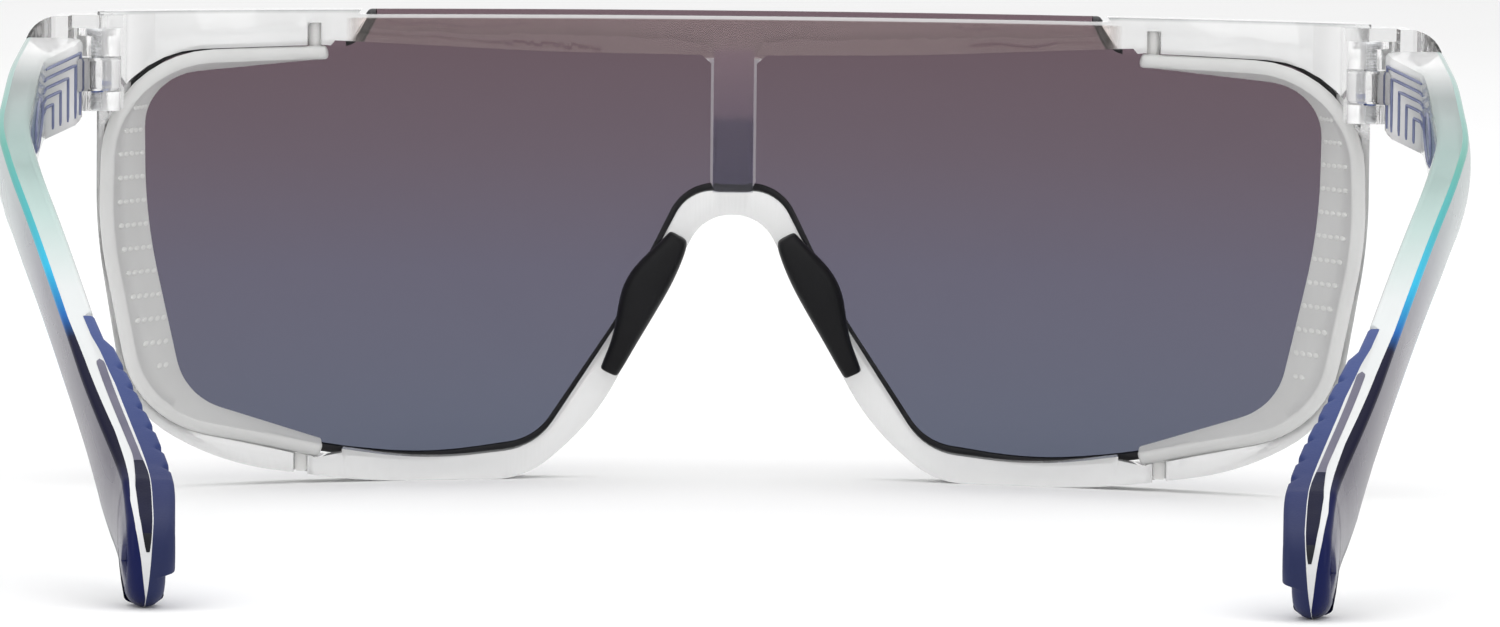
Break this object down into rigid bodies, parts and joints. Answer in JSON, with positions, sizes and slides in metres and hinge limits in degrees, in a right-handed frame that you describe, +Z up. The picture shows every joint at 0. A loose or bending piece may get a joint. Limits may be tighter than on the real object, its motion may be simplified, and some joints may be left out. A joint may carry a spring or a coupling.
{
  "type": "wraparound sport sunglasses",
  "caption": "Wraparound sunglasses with a shield lens, clear frame, clip-in side shields, rubber nose pads and folding temples with rubber grips.",
  "frame": {"origin": "centre of the footprint on the surface that the open glasses stand on", "axes": "+X towards the wearer's right, +Y forward, the way the wearer looks, +Z up"},
  "size_m": [0.1432, 0.158, 0.0493],
  "materials": {
    "clear_frame": "polished clear nylon",
    "lens_tint": "tinted polycarbonate, mirror coated in front",
    "frosted_shield": "frosted translucent plastic",
    "pad_rubber": "satin black rubber",
    "screw_steel": "plated steel with a blue thread-lock patch",
    "clear_arm": "polished clear nylon",
    "skin_gradient": "glossy coating that fades from mint through teal and blue to navy",
    "grip_rubber": "satin navy rubber"
  },
  "bodies": {
    "front": {"front_frame": "clear_frame", "lens": "lens_tint", "side_shield_left": "frosted_shield", "side_shield_right": "frosted_shield", "nose_pad_left": "pad_rubber", "nose_pad_right": "pad_rubber", "hinge_screw_left": "screw_steel", "hinge_screw_right": "screw_steel"},
    "left_temple": {"temple_left": "clear_arm", "temple_skin_left": "skin_gradient", "temple_grip_left": "grip_rubber"},
    "right_temple": {"temple_right": "clear_arm", "temple_skin_right": "skin_gradient", "temple_grip_right": "grip_rubber"}
  },
  "joints": [
    {"name": "temple_left_fold", "type": "hinge", "parent": "front", "child": "left_temple", "pos_m": [-0.0643, 0.039, 0.0432], "axis": [0, 0, 1], "range_deg": [0, 90]},
    {"name": "temple_right_fold", "type": "hinge", "parent": "front", "child": "right_temple", "pos_m": [0.0643, 0.039, 0.0432], "axis": [0, 0, -1], "range_deg": [0, 82]}
  ]
}
